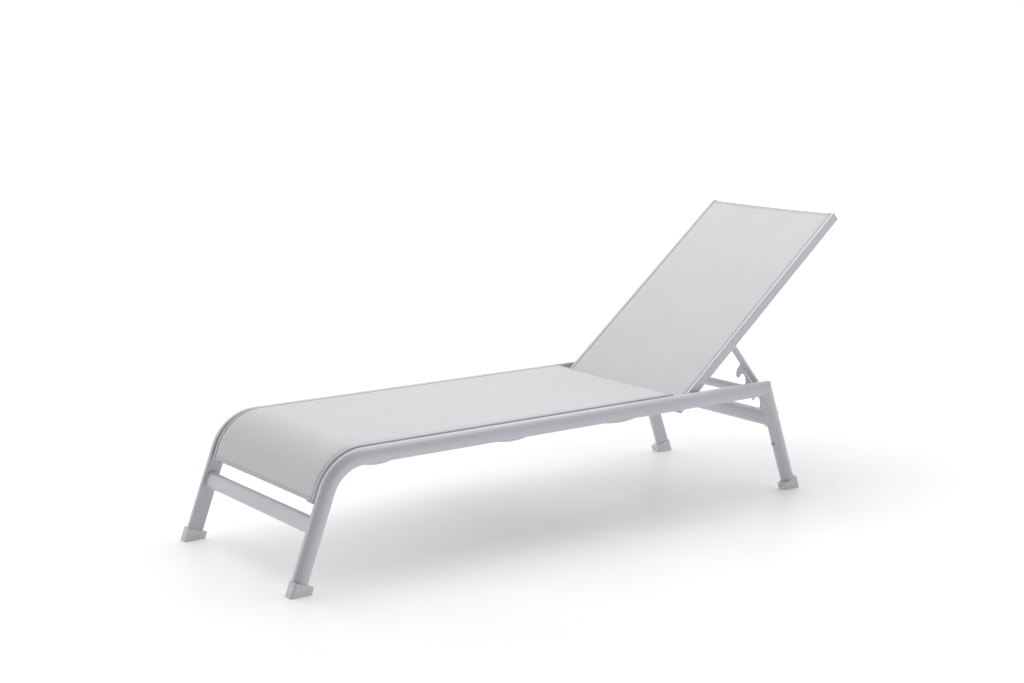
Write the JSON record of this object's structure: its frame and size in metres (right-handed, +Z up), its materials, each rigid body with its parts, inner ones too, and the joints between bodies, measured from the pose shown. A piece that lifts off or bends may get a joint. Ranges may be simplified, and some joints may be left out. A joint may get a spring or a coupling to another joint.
{
  "type": "chaise lounge",
  "caption": "Outdoor sling chaise lounge: bent aluminium side frames, level mesh seat curving down at the foot end, reclining back on a notched hook support, bowed cross tubes and cap feet",
  "frame": {"origin": "centre of the bounding box at floor level", "axes": "+X to the head end, +Y to the sitter's right, +Z up"},
  "size_m": [1.9684, 0.629, 0.843],
  "materials": {
    "frame_coat": "satin light blue-grey powder coat on aluminium tube",
    "foot_plastic": "moulded grey plastic, faint texture",
    "cap_plastic": "moulded light grey plastic",
    "sling_fabric": "woven coated mesh sling, off white",
    "nylon": "natural nylon",
    "bumper_rubber": "grey rubber",
    "fastener_steel": "stainless steel"
  },
  "bodies": {
    "frame": {"side_rail_left": "frame_coat", "side_rail_right": "frame_coat", "rear_leg_left": "frame_coat", "rear_leg_right": "frame_coat", "stacking_bumpers": "bumper_rubber", "foot_front_left": "foot_plastic", "foot_front_right": "foot_plastic", "foot_rear_left": "foot_plastic", "foot_rear_right": "foot_plastic", "foot_screws": "fastener_steel", "front_cross_bar": "frame_coat", "rear_lower_bar": "frame_coat", "rear_upper_bar": "frame_coat", "seat_sling_rail_left": "frame_coat", "seat_sling_rail_right": "frame_coat", "sling_rail_screws": "fastener_steel", "seat_rail_caps_front": "cap_plastic", "seat_rail_caps_rear": "cap_plastic", "seat_splines": "nylon", "seat_sling": "sling_fabric", "seat_bow_front": "frame_coat", "seat_bow_middle": "frame_coat", "seat_bow_rear": "frame_coat", "hinge_inserts": "fastener_steel"},
    "hinge_pins": {"hinge_bolt_left": "fastener_steel", "hinge_bolt_right": "fastener_steel", "hinge_washers": "nylon", "hinge_spacers": "nylon"},
    "backrest": {"back_rail_left": "frame_coat", "back_rail_right": "frame_coat", "back_rail_caps": "cap_plastic", "back_top_bar": "frame_coat", "back_lower_bar": "frame_coat", "back_splines": "nylon", "back_sling": "sling_fabric"},
    "support": {"support_axle": "fastener_steel", "support_bushes": "nylon", "support_strut_left": "frame_coat", "support_strut_right": "frame_coat", "strut_end_plugs": "cap_plastic", "support_pivot_tube": "frame_coat", "hook_plate_left": "frame_coat", "hook_plate_right": "frame_coat"}
  },
  "joints": [
    {"name": "back_lower", "type": "hinge", "parent": "frame", "child": "hinge_pins", "pos_m": [0.38309, 0, 0.3351], "axis": [0, -1, 0], "range_deg": [-39.74, 0]},
    {"name": "back_raise", "type": "hinge", "parent": "hinge_pins", "child": "backrest", "pos_m": [0.38309, 0, 0.3351], "axis": [0, -1, 0], "range_deg": [0, 26.6]},
    {"name": "support_fold", "type": "hinge", "parent": "backrest", "child": "support", "pos_m": [0.56284, 0, 0.48454], "axis": [0, -1, 0], "range_deg": [0, 90]}
  ],
  "couplings": [
    {"joint": "support_fold", "follows": "back_lower", "ratio": -2.2646}
  ]
}
